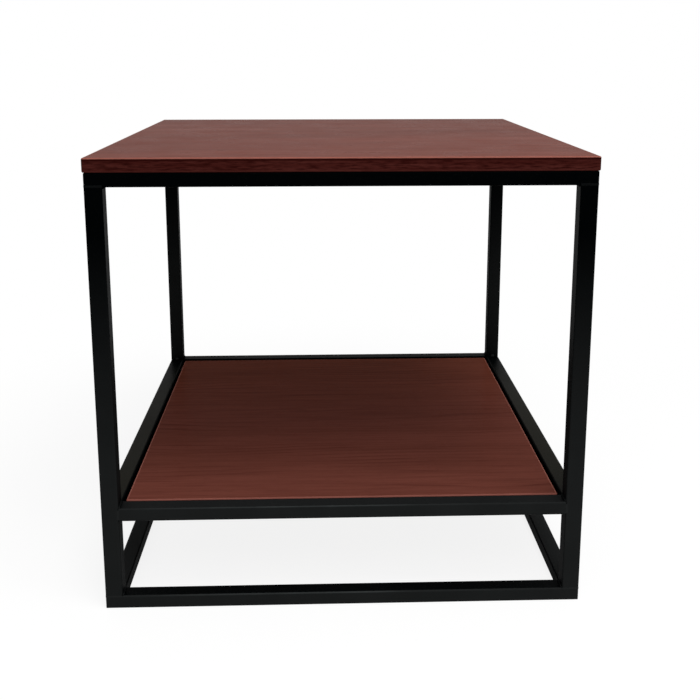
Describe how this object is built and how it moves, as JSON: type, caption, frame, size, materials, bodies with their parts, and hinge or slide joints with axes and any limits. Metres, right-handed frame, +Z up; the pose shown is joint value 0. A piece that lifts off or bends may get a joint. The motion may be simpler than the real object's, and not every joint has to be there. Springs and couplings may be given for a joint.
{
  "type": "end table with shelf",
  "caption": "Low square end table: a black welded tube box frame with a flat wood-grain top board and a matching shelf board inside a low ring of rails.",
  "frame": {"origin": "middle of the footprint, on the floor under the base ring", "axes": "+X to the right seen from the front, +Y to the rear, +Z up to the table top"},
  "size_m": [0.56, 0.56, 0.53],
  "materials": {
    "frame_coat": "black satin powder coat on steel tube",
    "board_laminate": "satin brown wood-grain laminate on particle board",
    "edge_band": "dark red-brown wood-grain edge banding",
    "screw_zinc": "zinc plated"
  },
  "bodies": {
    "root": {"base_rail_front": "frame_coat", "base_rail_rear": "frame_coat", "base_rail_left": "frame_coat", "base_rail_right": "frame_coat", "leg_front_left": "frame_coat", "leg_front_right": "frame_coat", "leg_rear_left": "frame_coat", "leg_rear_right": "frame_coat", "shelf_rail_front": "frame_coat", "shelf_rail_rear": "frame_coat", "shelf_rail_left": "frame_coat", "shelf_rail_right": "frame_coat", "top_rail_front": "frame_coat", "top_rail_rear": "frame_coat", "top_rail_left": "frame_coat", "top_rail_right": "frame_coat", "shelf_panel": "board_laminate", "shelf_band_front": "edge_band", "shelf_band_rear": "edge_band", "shelf_band_left": "edge_band", "shelf_band_right": "edge_band", "top_panel": "board_laminate", "top_band_front": "edge_band", "top_band_rear": "edge_band", "top_band_left": "edge_band", "top_band_right": "edge_band", "shelf_ledge_left": "frame_coat", "shelf_ledge_right": "frame_coat", "top_tab_front_left": "frame_coat", "top_tab_front_right": "frame_coat", "top_tab_rear_left": "frame_coat", "top_tab_rear_right": "frame_coat", "shelf_screws": "screw_zinc", "top_screws": "screw_zinc", "welds_base": "frame_coat", "welds_shelf": "frame_coat", "welds_top": "frame_coat", "welds_tabs": "frame_coat", "welds_ledges": "frame_coat"}
  },
  "joints": []
}
